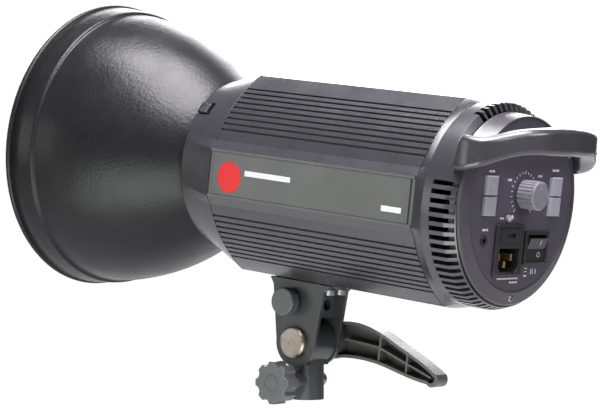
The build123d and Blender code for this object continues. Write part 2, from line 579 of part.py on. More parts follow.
DIAL_R = 9.4
DIAL_FACE = -15.6
DIAL_FLUTES = 24
dial = rod_y(DIAL_R, DIAL_FACE, PANEL_FACE - 0.8, x=DIAL_X, z=DIAL_Z)
dial = chamfer(dial.faces().sort_by(Axis.Y)[0].edges(), 0.8)
for index in range(DIAL_FLUTES):
    flute = Rot(0, 360 / DIAL_FLUTES * index, 0) * rod_y(0.75, DIAL_FACE + 1.2, 0, x=DIAL_R + 0.25)
    dial -= Pos(DIAL_X, 0, DIAL_Z) * flute
dial -= block(DIAL_X - 0.5, DIAL_X + 0.5, DIAL_FACE - 1, DIAL_FACE + 0.5, DIAL_Z + 3.0, DIAL_Z + DIAL_R + 1)
dial += rod_y(3.0, PANEL_FACE - 1, 11.0, x=DIAL_X, z=DIAL_Z)
parts["power_dial"] = dial
pot = block(DIAL_X - 8, DIAL_X + 8, 5.0, BOARD_BACK, DIAL_Z - 8, DIAL_Z + 8)
pot += rod_y(3.5, PANEL_FACE + 0.4, 5.2, x=DIAL_X, z=DIAL_Z)
parts["power_pot"] = pot - rod_y(3.0 + FIT, -5, 11.6, x=DIAL_X, z=DIAL_Z)

SYNC_MOUTH = PANEL_FACE - 0.9
SYNC_BORE = 1.8
SYNC_DEPTH = 12.0
sync = rod_y(3.3, SYNC_MOUTH, PANEL_FACE, x=SYNC_X, z=SYNC_Z)
sync += rod_y(2.8, PANEL_FACE, 13.0, x=SYNC_X, z=SYNC_Z)
sync -= rod_y(SYNC_BORE, SYNC_MOUTH - 1, SYNC_MOUTH + SYNC_DEPTH, x=SYNC_X, z=SYNC_Z)
parts["sync_socket"] = sync

# ---- mains inlet with its fuse drawer ------------------------------------------------------------
FLANGE_FACE = PANEL_FACE - 2.2
INLET_END = 28.0
RECESS_W, RECESS_H, RECESS_DEPTH = 22.6, 16.4, 16.0
RECESS_Z = IEC_Z - 7.0
DRAWER_Z = IEC_Z + 9.6
DRAWER_W, DRAWER_H = 22.0, 8.6
inlet = block(IEC_X - IEC_W / 2, IEC_X + IEC_W / 2, FLANGE_FACE, PANEL_FACE,
              IEC_Z - IEC_H / 2, IEC_Z + IEC_H / 2)
inlet = fillet(inlet.edges().filter_by(Axis.Y), 2.0)
inlet = chamfer(inlet.faces().sort_by(Axis.Y)[0].edges(), 0.6)
inlet += block(IEC_X - 13.4, IEC_X + 13.4, PANEL_FACE, INLET_END, IEC_Z - 14.6, IEC_Z + 14.6)
recess = block(IEC_X - RECESS_W / 2, IEC_X + RECESS_W / 2, FLANGE_FACE - 1, FLANGE_FACE + RECESS_DEPTH,
               RECESS_Z - RECESS_H / 2, RECESS_Z + RECESS_H / 2)
low_edges = recess.edges().filter_by(Axis.Y).group_by(Axis.Z)[0]
inlet -= chamfer(low_edges, 4.0)
drawer_hole = block(IEC_X - DRAWER_W / 2 - 0.3, IEC_X + DRAWER_W / 2 + 0.3, FLANGE_FACE - 1, 22.0,
                    DRAWER_Z - DRAWER_H / 2 - 0.3, DRAWER_Z + DRAWER_H / 2 + 0.3)
inlet -= drawer_hole
PIN_W, PIN_H = 2.0, 4.2
pin_places = [(-7.0, 2.0), (7.0, 2.0), (0.0, -2.6)]
pins = []
for dx, dz in pin_places:
    pin = block(IEC_X + dx - PIN_W / 2, IEC_X + dx + PIN_W / 2, FLANGE_FACE + 3.0, INLET_END + 7,
                RECESS_Z + dz - PIN_H / 2, RECESS_Z + dz + PIN_H / 2)
    inlet -= pin
    pins.append(pin)
parts["mains_inlet"] = inlet
parts["inlet_pins"] = Compound(pins)

FUSE_R = 2.5
drawer = block(IEC_X - DRAWER_W / 2, IEC_X + DRAWER_W / 2, FLANGE_FACE - 0.4, 21.5,
               DRAWER_Z - DRAWER_H / 2, DRAWER_Z + DRAWER_H / 2)
drawer -= block(IEC_X - 5, IEC_X + 5, FLANGE_FACE - 2, FLANGE_FACE + 1.2, DRAWER_Z - 1.6, DRAWER_Z + 1.6)
drawer -= block(IEC_X - FUSE_R, IEC_X + FUSE_R, 0.5, 20.5, DRAWER_Z, DRAWER_Z + 9)
drawer -= rod_y(FUSE_R, 0.5, 20.5, x=IEC_X, z=DRAWER_Z)
parts["fuse_drawer"] = drawer
parts["fuse"] = rod_y(FUSE_R, 0.5, 20.5, x=IEC_X, z=DRAWER_Z)

# ---- power rocker --------------------------------------------------------------------------------
ROCK_TILT = 9.0
ROCK_Y = 0.6
rocker_frame = block(ROCKER_X - ROCKER_W / 2, ROCKER_X + ROCKER_W / 2, PANEL_FACE - 1.6, PANEL_FACE,
                     ROCKER_Z - ROCKER_H / 2, ROCKER_Z + ROCKER_H / 2)
rocker_frame = chamfer(rocker_frame.faces().sort_by(Axis.Y)[0].edges(), 0.5)
rocker_frame += block(ROCKER_X - 12.0, ROCKER_X + 12.0, PANEL_FACE, 18.0, ROCKER_Z - 9.3, ROCKER_Z + 9.3)
rocker_frame -= block(ROCKER_X - 10.6, ROCKER_X + 10.6, -6, 8.0, ROCKER_Z - 8.6, ROCKER_Z + 8.6)
rocker_frame -= rod_x(1.2 + FIT, ROCKER_X - 11.6, ROCKER_X + 11.6, y=ROCK_Y, z=ROCKER_Z)
for dx in (-6.0, 6.0):
    tab_x = ROCKER_X + dx
    rocker_frame += block(tab_x - 2.4, tab_x + 2.4, 18.0, 25.0, ROCKER_Z - 0.4, ROCKER_Z + 0.4)
parts["rocker_frame"] = rocker_frame
ROCK_HALF = 7.4
wedge = Polyline((-5.2, ROCK_HALF), (-3.8, 0), (-5.2, -ROCK_HALF), (2.4, -6.4), (2.4, 6.4), close=True)
rocker = extrude(Plane.YZ * make_face(wedge), amount=10.2, both=True) + rod_x(1.2, -11.4, 11.4)
parts["power_rocker"] = Pos(ROCKER_X, ROCK_Y, ROCKER_Z) * Rot(ROCK_TILT, 0, 0) * rocker

# ---- handle: a loop from one side of the drum round behind the panel to the other ----------------
# Left half of the centre line: x, y, z, heading in degrees from -Y towards +X, width, height.
HANDLE_STATIONS = [
    (-60.5, 12.0, 31.0, 0.0, 8.0, 20.5),
    (-62.5, 0.0, 31.6, 0.0, 10.5, 22.0),
    (-60.6, -8.0, 32.8, 28.0, 12.0, 19.0),
    (-52.0, -14.6, 36.4, 52.0, 13.0, 16.6),
    (-38.5, -22.8, 41.0, 63.0, 13.5, 15.8),
    (-20.0, -30.6, 42.8, 78.0, 13.5, 17.0),
    (0.0, -32.6, 43.4, 90.0, 13.5, 17.4),
]


def handle_section(x, y, z, heading, width, height):
    turn = radians(heading)
    along = (sin(turn), -cos(turn), 0)
    outward = (-cos(turn), -sin(turn), 0)
    return Plane(origin=(x, y, z), x_dir=outward, z_dir=along) * RectangleRounded(width, height, 3.9)


stations = list(HANDLE_STATIONS)
for x, y, z, heading, width, height in reversed(HANDLE_STATIONS[:-1]):
    stations.append((-x, y, z, 180 - heading, width, height))
handle = loft([handle_section(*station) for station in stations])
handle -= Pos(0, 0, DRUM_Z) * rod_y(DRUM_R + 0.05, DRUM_REAR, 40)
handle -= rod_y(BEZEL_R + 0.3, -4, DRUM_REAR + 1)
FOOT_LEAN = 16.2         # degrees the foot's front edge leans back
FOOT_EDGE_Y, FOOT_EDGE_Z = 5.0, 33.0
FOOT_SCREW_Y, FOOT_SCREW_Z = 4.95, 24.5
FOOT_SCREW_R = 1.25
FOOT_SCREW_HEAD = 2.3
FOOT_SCREW_LENGTH = 5.8
foot_trim = Rot(FOOT_LEAN, 0, 0) * block(-90, 90, 0, 30, -40, 40)
handle -= Pos(0, FOOT_EDGE_Y, FOOT_EDGE_Z) * foot_trim
for side in (-1, 1):
    place = Pos(side * (DRUM_R - 8.4), FOOT_SCREW_Y, FOOT_SCREW_Z) * Rot(0, side * 90, 0)
    machine_screws.append(place * cross_screw(FOOT_SCREW_HEAD, 2.0, FOOT_SCREW_R, FOOT_SCREW_LENGTH))
    handle -= place * Cylinder(FOOT_SCREW_R, 2 * FOOT_SCREW_LENGTH)
    parts["rear_housing"] -= place * Cylinder(FOOT_SCREW_R + 0.1, 40.0)
    parts["rear_housing"] -= place * Pos(0, 0, -4) * Cylinder(FOOT_SCREW_HEAD + 0.3, 8.0)
parts["handle"] = handle
parts["machine_screws"] = Compound(machine_screws)

# ---- yoke, umbrella clamp and pivot --------------------------------------------------------------
YOKE_TOP = SECTION_Z - SECTION_TOP - 0.05
WEB = 3.2
YOKE_IN = YOKE_OUT - YOKE_PLATE
yoke_outline = Polyline(
    (135.4, YOKE_TOP), (188.6, YOKE_TOP), (185.2, YOKE_TOP - 5.0), (PIVOT_Y + YOKE_R, PIVOT_Z)
) + RadiusArc((PIVOT_Y + YOKE_R, PIVOT_Z), (PIVOT_Y, PIVOT_Z - YOKE_R), YOKE_R)
yoke_outline += RadiusArc((PIVOT_Y, PIVOT_Z - YOKE_R), (PIVOT_Y - YOKE_R, PIVOT_Z), YOKE_R)
yoke_outline += Polyline((PIVOT_Y - YOKE_R, PIVOT_Z), (140.8, YOKE_TOP - 5.0), (135.4, YOKE_TOP))
yoke = extrude(Plane.YZ * make_face(yoke_outline), amount=YOKE_OUT, both=True)
yoke -= block(-YOKE_IN, YOKE_IN, 120, 200, -140, YOKE_TOP - WEB)
yoke -= rod_x(BOLT_R + FIT, -20, 20, y=PIVOT_Y, z=PIVOT_Z)
UMBRELLA_Y, UMBRELLA_Z = 168.0, -87.5
UMBRELLA_R = 4.2
yoke -= rod_x(SCREW_R + FIT, -20, 0, y=UMBRELLA_Y, z=UMBRELLA_Z)
yoke_bolt_places = [(x, y) for x in (-6.0, 6.0) for y in (142.0, 182.0)]
NUT_PLATE = (-68.3, -64.8)
nut_plate = block(-12, 12, 136, 188, *NUT_PLATE)
for x, y in yoke_bolt_places:
    yoke -= rod_z(2.6, -80, -60, x=x, y=y)
    parts["body_extrusion"] -= rod_z(2.6, -80, -60, x=x, y=y)
    nut_plate -= rod_z(2.5, -80, -60, x=x, y=y)
parts["yoke"] = yoke
parts["yoke_nut_plate"] = nut_plate
parts["yoke_screws"] = Compound([
    Pos(x, y, YOKE_TOP - WEB) * hex_socket_screw(4.2, 3.6, 2.5, WEB + NUT_PLATE[1] - YOKE_TOP)
    for x, y in yoke_bolt_places
])
BLOCK_REAR, BLOCK_FRONT = 147.0, 180.0
umbrella_block = block(-YOKE_IN, YOKE_IN, BLOCK_REAR, BLOCK_FRONT, -96.4, -81.0)
umbrella_block -= rod_y(UMBRELLA_R, 140, 190, z=UMBRELLA_Z)
umbrella_block -= rod_x(SCREW_R + FIT, -20, 0, y=UMBRELLA_Y, z=UMBRELLA_Z)
parts["umbrella_block"] = umbrella_block
UMBRELLA_FACE = -24.6
parts["umbrella_pad"] = rod_x(SCREW_R, -7.2, -UMBRELLA_R - 0.5, y=UMBRELLA_Y, z=UMBRELLA_Z)
umbrella_knob = Cylinder(9.6, 8.0)
umbrella_knob = chamfer(umbrella_knob.edges(), 0.8)
for index in range(36):
    umbrella_knob -= Rot(0, 0, 10 * index) * Pos(9.75, 0, 0) * Cylinder(0.45, 6.0)
umbrella_place = Pos(UMBRELLA_FACE + 4.0, UMBRELLA_Y, UMBRELLA_Z) * Rot(0, 90, 0)
umbrella_stud = rod_x(SCREW_R, UMBRELLA_FACE + 3.9, -7.2, y=UMBRELLA_Y, z=UMBRELLA_Z)
parts["umbrella_knob"] = umbrella_place * umbrella_knob + umbrella_stud

DISC_R = 10.6
bolt = rod_x(DISC_R, -YOKE_OUT - 4.4, -YOKE_OUT, y=PIVOT_Y, z=PIVOT_Z)
bolt = chamfer(bolt.faces().sort_by(Axis.X)[0].edges(), 1.1)
bolt -= rod_x(2.2, -YOKE_OUT - 5, -YOKE_OUT - 3.9, y=PIVOT_Y, z=PIVOT_Z)
bolt += rod_x(BOLT_R, -YOKE_OUT, 28.5, y=PIVOT_Y, z=PIVOT_Z)
parts["pivot_bolt"] = bolt

# ---- tilt lever ----------------------------------------------------------------------------------
LEVER_IN, LEVER_OUT = 14.4, 31.0
HUB_R = 13.6
ARM_IN = 19.0
ARM_TOP = [(-6.0, 12.2), (-24.0, 16.6), (-44.0, 13.6), (-63.0, 6.6), (-83.0, -1.2), (-97.0, -8.2)]
ARM_LOW = [(-90.0, -15.6), (-72.0, -13.6), (-50.0, -9.6), (-28.0, -8.6), (-6.0, -12.2)]
LEVER_SKIN = 2.2
MID_RIB = [(-16.0, 3.4), (-46.0, 2.4), (-92.0, -11.0)]
CROSS_RIBS = (-47.0, -71.0)


def lever_outline(inset):
    top = [(y + (0.3 * inset if y < -90 else 0), z - inset) for y, z in ARM_TOP]
    low = [(y, z + inset) for y, z in ARM_LOW]
    tip = (-98.6 + 1.3 * inset, -13.2 + 0.2 * inset)
    edge = Spline(*top) + ThreePointArc(top[-1], tip, low[0]) + Spline(*low) + Line(low[-1], top[0])
    return make_face(edge)


lever = Pos(ARM_IN, 0, 0) * extrude(Plane.YZ * lever_outline(0), amount=LEVER_OUT - ARM_IN)
pocket_depth = LEVER_OUT - ARM_IN - LEVER_SKIN
pocket = Pos(ARM_IN - 1, 0, 0) * extrude(Plane.YZ * lever_outline(LEVER_SKIN), amount=pocket_depth + 1)
pocket -= rod_x(HUB_R, 0, 40)
RIB_HALF = 0.7
rib = block(ARM_IN + 1.2, LEVER_OUT - 1, -RIB_HALF, RIB_HALF, -25, 25)
ribs = []
for start, end in zip(MID_RIB, MID_RIB[1:]):
    length = hypot(end[0] - start[0], end[1] - start[1])
    slope = degrees(atan2(end[1] - start[1], end[0] - start[0]))
    middle = ((start[0] + end[0]) / 2, (start[1] + end[1]) / 2)
    bar = block(ARM_IN + 1.2, LEVER_OUT - 1, -length / 2, length / 2, -RIB_HALF, RIB_HALF)
    ribs.append(Pos(0, middle[0], middle[1]) * Rot(slope, 0, 0) * bar)
ribs += [Pos(0, y, 0) * rib for y in CROSS_RIBS]
for bar in ribs:
    pocket -= bar
lever = lever - pocket + rod_x(HUB_R, LEVER_IN, LEVER_OUT)
lever -= rod_x(BOLT_R + 0.3, 10, 30)
insert = Pos(21.5, 0, 0) * Rot(0, 90, 0) * extrude(RegularPolygon(7.2, 6), amount=7.5)
lever -= insert
pivot_place = Pos(0, PIVOT_Y, PIVOT_Z)
parts["tilt_lever"] = pivot_place * lever
parts["lever_insert"] = pivot_place * (insert - rod_x(BOLT_R + FIT, 10, 40))

# ---- stand adapter, in the row's own frame -------------------------------------------------------
KNUCKLE_HALF = 10.6
SOCKET_TOP = 24.5
adapter = rod_x(KNUCKLE_R, -KNUCKLE_HALF, KNUCKLE_HALF, z=PIVOT_HEIGHT)
adapter += rod_z(SOCKET_R, 0, SOCKET_TOP)
adapter += rod_z(SOCKET_R, SOCKET_TOP - 0.5, 34) & Pos(0, 0, 29) * Box(2 * KNUCKLE_HALF, 30, 12)
adapter += block(-KNUCKLE_HALF + 0.6, KNUCKLE_HALF - 0.6, -SOCKET_R + 1.0, SOCKET_R - 1.0, 24, 38)
adapter += rod_x(6.5, -19.0, 0, z=CLAMP_HEIGHT)
adapter -= rod_z(SOCKET_BORE, -1, SOCKET_DEPTH)
adapter -= rod_x(BOLT_R + FIT, -20, 20, z=PIVOT_HEIGHT)
adapter -= rod_x(BOLT_R + FIT, -30, 0, z=CLAMP_HEIGHT)
adapter -= rod_x(SCREW_R, SOCKET_BORE + 0.6, 20, z=CLAMP_HEIGHT)
adapter_parts = {"stand_adapter": adapter}
washers = []
for side in (-1, 1):
    low, high = sorted((side * KNUCKLE_HALF, side * (KNUCKLE_HALF + 0.6)))
    washers.append(rod_x(15.0, low, high, z=PIVOT_HEIGHT) - rod_x(BOLT_R + 0.3, -20, 20, z=PIVOT_HEIGHT))
adapter_parts["friction_washers"] = Compound(washers)
plug = rod_x(5.0, SOCKET_R + 0.2, 15.4, z=CLAMP_HEIGHT)
plug = fillet(plug.faces().sort_by(Axis.X)[-1].edges(), 1.0)
plug -= Pos(15.6, 0, CLAMP_HEIGHT) * Rot(0, 90, 0) * Cylinder(1.6, 2.4)
adapter_parts["socket_plug"] = plug + rod_x(SCREW_R, SOCKET_BORE + 0.6, SOCKET_R + 0.3, z=CLAMP_HEIGHT)
PAD_FACE = -SOCKET_BORE - 0.2
adapter_parts["clamp_pad"] = rod_x(BOLT_R, -10.8, PAD_FACE, z=CLAMP_HEIGHT)
CLAMP_KNOB_IN, CLAMP_KNOB_OUT = -27.0, -39.6
STAR_LOBES = 8
star = star_knob(STAR_LOBES, 14.6, 11.6, CLAMP_KNOB_IN - CLAMP_KNOB_OUT)
star += Pos(0, 0, -1.6) * Cylinder(7.0, 3.4)
star -= Pos(0, 0, 2.0) * Cylinder(BOLT_R, 12.0)
star -= Pos(0, 0, CLAMP_KNOB_IN - CLAMP_KNOB_OUT) * Cylinder(6.2, 1.6)
adapter_parts["clamp_knob"] = Pos(CLAMP_KNOB_IN, 0, CLAMP_HEIGHT) * Rot(0, -90, 0) * star
adapter_parts["clamp_screw"] = rod_x(BOLT_R, CLAMP_KNOB_IN - 8.0, -10.8, z=CLAMP_HEIGHT)

# ---- place the head on the adapter and write every node ------------------------------------------
head_place = Pos(0, 0, PIVOT_HEIGHT) * Rot(HEAD_TILT, 0, 0) * Pos(0, -PIVOT_Y, -PIVOT_Z)
placed = {name: head_place * shape for name, shape in parts.items()}
placed.update(adapter_parts)

os.makedirs("parts", exist_ok=True)
for name, shape in placed.items():
    export_step(shape, f"parts/{name}.step")
print(len(placed), "nodes")
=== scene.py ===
import json
import math

import bmesh
import bpy
from mathutils import Matrix, Vector


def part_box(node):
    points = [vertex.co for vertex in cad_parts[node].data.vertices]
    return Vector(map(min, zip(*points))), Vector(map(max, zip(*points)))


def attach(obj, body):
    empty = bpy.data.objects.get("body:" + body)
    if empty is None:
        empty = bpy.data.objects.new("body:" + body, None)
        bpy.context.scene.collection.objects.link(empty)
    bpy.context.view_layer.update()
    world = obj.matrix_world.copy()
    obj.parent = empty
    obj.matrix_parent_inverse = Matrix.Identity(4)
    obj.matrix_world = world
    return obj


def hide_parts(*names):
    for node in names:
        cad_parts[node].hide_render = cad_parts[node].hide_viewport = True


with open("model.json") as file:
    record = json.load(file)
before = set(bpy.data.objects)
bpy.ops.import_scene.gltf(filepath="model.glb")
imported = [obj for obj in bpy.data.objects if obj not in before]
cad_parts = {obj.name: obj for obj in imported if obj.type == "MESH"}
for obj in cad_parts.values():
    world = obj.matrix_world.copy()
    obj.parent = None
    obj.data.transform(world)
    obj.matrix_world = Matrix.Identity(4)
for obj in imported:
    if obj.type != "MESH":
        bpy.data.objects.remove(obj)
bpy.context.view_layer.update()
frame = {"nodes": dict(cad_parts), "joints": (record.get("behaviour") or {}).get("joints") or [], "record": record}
MM = 0.001
FLANGE_Y = 240.0         # the reflector joint's point along the lamp axis, mm

# ---- where the head is ----------------------------------------------------------------------------
JOINTS = {joint["name"]: joint for joint in frame["joints"]}


def head_frame():
    """The head's own frame: +Y is the lamp axis and y = 0 is the rear bezel's plane."""
    lamp = Vector(JOINTS["reflector_turn"]["axis"])
    right = Vector((1, 0, 0))
    up = right.cross(lamp)
    origin = Vector(JOINTS["reflector_turn"]["pos_m"]) - FLANGE_Y * MM * lamp
    matrix = Matrix((right, lamp, up)).transposed().to_4x4()
    matrix.translation = origin
    return matrix


HEAD = head_frame()
TO_HEAD = HEAD.inverted()


def joint_place(name):
    """A joint's point in the head's frame, in millimetres."""
    return (TO_HEAD @ Vector(JOINTS[name]["pos_m"])) / MM


def box_middle(node):
    """The middle of a node's box in the head's frame, in millimetres."""
    low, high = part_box(node)
    return (TO_HEAD @ ((low + high) / 2)) / MM


# ---- materials ------------------------------------------------------------------------------------
class Graph:
    """A small wrapper that builds one material's node tree."""

    def __init__(self, name):
        self.material = bpy.data.materials.new(name)
        self.material.use_nodes = True
        self.nodes = self.material.node_tree.nodes
        self.links = self.material.node_tree.links
        self.shader = self.nodes["Principled BSDF"]

    def node(self, kind, **settings):
        node = self.nodes.new(kind)
        for key, value in settings.items():
            setattr(node, key, value)
        return node

    def join(self, output, socket):
        self.links.new(output, socket)

    def coords(self, shift=(0, 0, 0), stretch=(1, 1, 1)):
        source = self.node("ShaderNodeTexCoord").outputs["Object"]
        mapping = self.node("ShaderNodeMapping")
        mapping.inputs["Location"].default_value = shift
        mapping.inputs["Scale"].default_value = stretch
        self.join(source, mapping.inputs["Vector"])
        return mapping.outputs["Vector"]

    def noise(self, scale, detail=3.0, coords=None, roughness=0.5):
        node = self.node("ShaderNodeTexNoise")
        node.inputs["Scale"].default_value = scale
        node.inputs["Detail"].default_value = detail
        node.inputs["Roughness"].default_value = roughness
        self.join(coords or self.coords(), node.inputs["Vector"])
        return node.outputs["Fac"]

    def ranged(self, value, low, high, from_low=0.3, from_high=0.7):
        node = self.node("ShaderNodeMapRange")
        node.inputs["From Min"].default_value = from_low
        node.inputs["From Max"].default_value = from_high
        node.inputs["To Min"].default_value = low
        node.inputs["To Max"].default_value = high
        self.join(value, node.inputs["Value"])
        return node.outputs["Result"]

    def mixed(self, factor, first, second):
        node = self.node("ShaderNodeMix", data_type="RGBA")
        self.join(factor, node.inputs["Factor"])
        for socket, value in ((node.inputs["A"], first), (node.inputs["B"], second)):
            if isinstance(value, bpy.types.NodeSocket):
                self.join(value, socket)
            else:
                socket.default_value = (*value, 1)
        return node.outputs["Result"]

    def bump(self, height, strength, distance, normal=None):
        node = self.node("ShaderNodeBump")
        node.inputs["Strength"].default_value = strength
        node.inputs["Distance"].default_value = distance
        self.join(height, node.inputs["Height"])
        if normal is not None:
            self.join(normal, node.inputs["Normal"])
        return node.outputs["Normal"]

    def rounded(self, radius):
        node = self.node("ShaderNodeBevel", samples=4)
        node.inputs["Radius"].default_value = radius
        return node.outputs["Normal"]

    def edges(self, rounded, amount):
        """The given amount on sharp edges, falling to 0 on faces."""
        geometry = self.node("ShaderNodeNewGeometry")
        dot = self.node("ShaderNodeVectorMath", operation="DOT_PRODUCT")
        self.join(rounded, dot.inputs[0])
        self.join(geometry.outputs["Normal"], dot.inputs[1])
        return self.ranged(dot.outputs["Value"], amount, 0.0, SHARP, FLAT)


TONE_SHARE = 0.22        # scale of the colour patches, as a share of the grain's
RUBBED_GAIN, RUBBED_LIFT = 0.55, 0.16
SHARP, FLAT = 0.80, 0.995
SMUDGE_SCALE = 38.0      # patches of uneven gloss, each a few centimetres across
COAT_ROUGHNESS = 0.25


def scaled(colour, factor):
    return tuple(min(1.0, channel * factor) for channel in colour)


def finish_material(name, colour, roughness, grain=900.0, depth=0.25, relief=0.0001, mottled=0.10,
                    spread=0.06, edge=0.35, radius=0.0004, metallic=0.0, coat=0.0, specular=0.5,
                    stretch=(1, 1, 1), wear=None):
    """Grain, uneven gloss, slight colour variation and rubbed edges on one base colour."""
    g = Graph(name)
    coords = g.coords(stretch=stretch)
    normal = g.rounded(radius)
    height = g.noise(grain, 4.0, coords)
    g.join(g.bump(height, depth, relief, normal), g.shader.inputs["Normal"])
    smudge = g.noise(SMUDGE_SCALE, 5.0, coords, 0.6)
    g.join(g.ranged(smudge, roughness - spread, roughness + spread), g.shader.inputs["Roughness"])
    tone = g.mixed(g.ranged(g.noise(grain * TONE_SHARE, 2.0, coords), 0, 1), scaled(colour, 1 - mottled),
                   scaled(colour, 1 + mottled))
    if edge:
        rubbed = wear or tuple(RUBBED_GAIN * channel + RUBBED_LIFT for channel in colour)
        tone = g.mixed(g.edges(normal, edge), tone, rubbed)
    g.join(tone, g.shader.inputs["Base Color"])
    g.shader.inputs["Metallic"].default_value = metallic
    g.shader.inputs["Coat Weight"].default_value = coat
    g.shader.inputs["Coat Roughness"].default_value = COAT_ROUGHNESS
    g.shader.inputs["Specular IOR Level"].default_value = specular
    return g.material


def turned_metal(name, colour, centre, roughness=0.28):
    """Nickel-plated steel with the fine rings of a lathe tool about a point, across X."""
    g = Graph(name)
    coords = g.coords(shift=tuple(-value for value in centre))
    rings = g.node("ShaderNodeTexWave", wave_type="RINGS", rings_direction="X")
    rings.inputs["Scale"].default_value = 900.0
    rings.inputs["Distortion"].default_value = 1.2
    rings.inputs["Detail"].default_value = 2.0
    g.join(coords, rings.inputs["Vector"])
    normal = g.bump(rings.outputs["Fac"], 0.35, 0.00006, g.rounded(0.0005))
    g.join(normal, g.shader.inputs["Normal"])
    stain = g.noise(260.0, 6.0, coords, 0.65)
    g.join(g.mixed(g.ranged(stain, 0, 1), scaled(colour, 0.72), colour), g.shader.inputs["Base Color"])
    g.join(g.ranged(stain, roughness - 0.08, roughness + 0.14), g.shader.inputs["Roughness"])
    g.shader.inputs["Metallic"].default_value = 1.0
    return g.material


def clear_glass(name, colour, roughness, transmission):
    g = Graph(name)
    coords = g.coords()
    g.join(g.bump(g.noise(120.0, 2.0, coords), 0.05, 0.0002), g.shader.inputs["Normal"])
    g.join(g.ranged(g.noise(60.0, 4.0, coords), roughness, roughness + 0.06), g.shader.inputs["Roughness"])
    g.shader.inputs["Base Color"].default_value = (*colour, 1)
    g.shader.inputs["Transmission Weight"].default_value = transmission
    g.shader.inputs["IOR"].default_value = 1.46
    return g.material


CHARCOAL = (0.026, 0.025, 0.029)
PIVOT = JOINTS["head_tilt"]["pos_m"]
FINISHES = {
    "body_paint": dict(colour=CHARCOAL, roughness=0.31, grain=1400, depth=0.18, relief=0.00010, coat=0.6,
                       edge=0.12),
    "housing": dict(colour=CHARCOAL, roughness=0.30, grain=1700, depth=0.25, relief=0.00010, coat=0.5,
                    edge=0.15),
    "panel": dict(colour=(0.036, 0.032, 0.044), roughness=0.46, grain=2200, depth=0.30, relief=0.00008,
                  edge=0.15),
    "bezel": dict(colour=(0.034, 0.032, 0.038), roughness=0.29, grain=1700, depth=0.22, relief=0.00008,
                  edge=0.2),
    "key_plastic": dict(colour=(0.20, 0.20, 0.22), roughness=0.40, grain=1900, depth=0.2, relief=0.00006,
                        edge=0.2),
    "black_plastic": dict(colour=(0.012, 0.012, 0.013), roughness=0.30, grain=1900, depth=0.2,
                          relief=0.00006, edge=0.2),
    "dial_plastic": dict(colour=(0.15, 0.146, 0.165), roughness=0.34, grain=1500, depth=0.2,
                         relief=0.00006, edge=0.2),
    "label": dict(colour=(0.024, 0.028, 0.026), roughness=0.22, grain=2600, depth=0.12, relief=0.00005,
                  edge=0.0, mottled=0.05, coat=0.3),
    "reflector_outside": dict(colour=(0.009, 0.009, 0.0095), roughness=0.33, grain=420, depth=0.35,
                              relief=0.0006, edge=0.0, specular=0.24),
    "spun_aluminium": dict(colour=(0.78, 0.78, 0.79), roughness=0.30, grain=700, depth=0.2,
                           relief=0.00006, metallic=1.0, edge=0.0, stretch=(1, 12, 1)),
    "bright_screw": dict(colour=(0.34, 0.34, 0.35), roughness=0.36, grain=1500, depth=0.2, relief=0.00004,
                         metallic=1.0, edge=0.2, wear=(0.6, 0.6, 0.6)),
    "cast_bracket": dict(colour=(0.030, 0.034, 0.034), roughness=0.36, grain=1100, depth=0.35,
                         relief=0.00015, edge=0.3),
    "lever_plastic": dict(colour=(0.085, 0.083, 0.080), roughness=0.36, grain=1300, depth=0.3,
                          relief=0.0001),
    "knob_plastic": dict(colour=(0.070, 0.073, 0.073), roughness=0.38, grain=1300, depth=0.35,
                         relief=0.00012),
    "brass": dict(colour=(0.70, 0.52, 0.25), roughness=0.30, grain=1200, depth=0.2, relief=0.00005,
                  metallic=1.0, edge=0.0),
    "ceramic": dict(colour=(0.80, 0.79, 0.75), roughness=0.30, grain=800, depth=0.1, relief=0.0001,
                    edge=0.0),
    "circuit": dict(colour=(0.02, 0.14, 0.06), roughness=0.35, grain=900, depth=0.2, relief=0.00005,
                    edge=0.0),
    "can_sleeve": dict(colour=(0.03, 0.04, 0.10), roughness=0.25, grain=500, depth=0.1, relief=0.00005,
                       edge=0.0),
    "sheet_steel": dict(colour=(0.55, 0.56, 0.57), roughness=0.35, grain=600, depth=0.2, relief=0.00005,
                        metallic=1.0, edge=0.0),
    "rubber": dict(colour=(0.015, 0.015, 0.015), roughness=0.65, grain=1200, depth=0.3, relief=0.0001,
                   edge=0.0),
    "coil": dict(colour=(0.45, 0.18, 0.07), roughness=0.35, grain=1500, depth=0.4, relief=0.0002,
                 metallic=1.0, edge=0.0),
    "white_mark": dict(colour=(0.50, 0.50, 0.52), roughness=0.45, grain=2500, depth=0.1, relief=0.00003,
                       edge=0.0),
    "red_mark": dict(colour=(0.42, 0.004, 0.004), roughness=0.42, grain=2500, depth=0.1, relief=0.00003,
                     edge=0.0),
}
MATERIALS = {name: finish_material(name, **options) for name, options in FINISHES.items()}
MATERIALS["nickel"] = turned_metal("nickel", (0.42, 0.38, 0.32), PIVOT, 0.34)
MATERIALS["glass_clear"] = clear_glass("glass_clear", (0.95, 0.97, 1.0), 0.02, 0.92)
MATERIALS["glass_frosted"] = clear_glass("glass_frosted", (0.96, 0.95, 0.92), 0.38, 0.55)

for entry in frame["record"]["subparts"]:
    node = frame["nodes"][entry["node"]]
    node.data.materials.clear()
    node.data.materials.append(MATERIALS[entry["material_slot"]])


# ---- mesh pieces ----------------------------------------------------------------------------------
def add_piece(name, mesh, body, material, place=HEAD, smooth=True):
    """Adds a mesh drawn in millimetres in the head's frame as a piece on a body."""
    piece = bpy.data.objects.new(name, mesh)
    bpy.context.scene.collection.objects.link(piece)
    mesh.transform(place @ Matrix.Scale(MM, 4))
    for polygon in mesh.polygons:
        polygon.use_smooth = smooth
    mesh.materials.append(MATERIALS[material])
    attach(piece, body)
    return piece


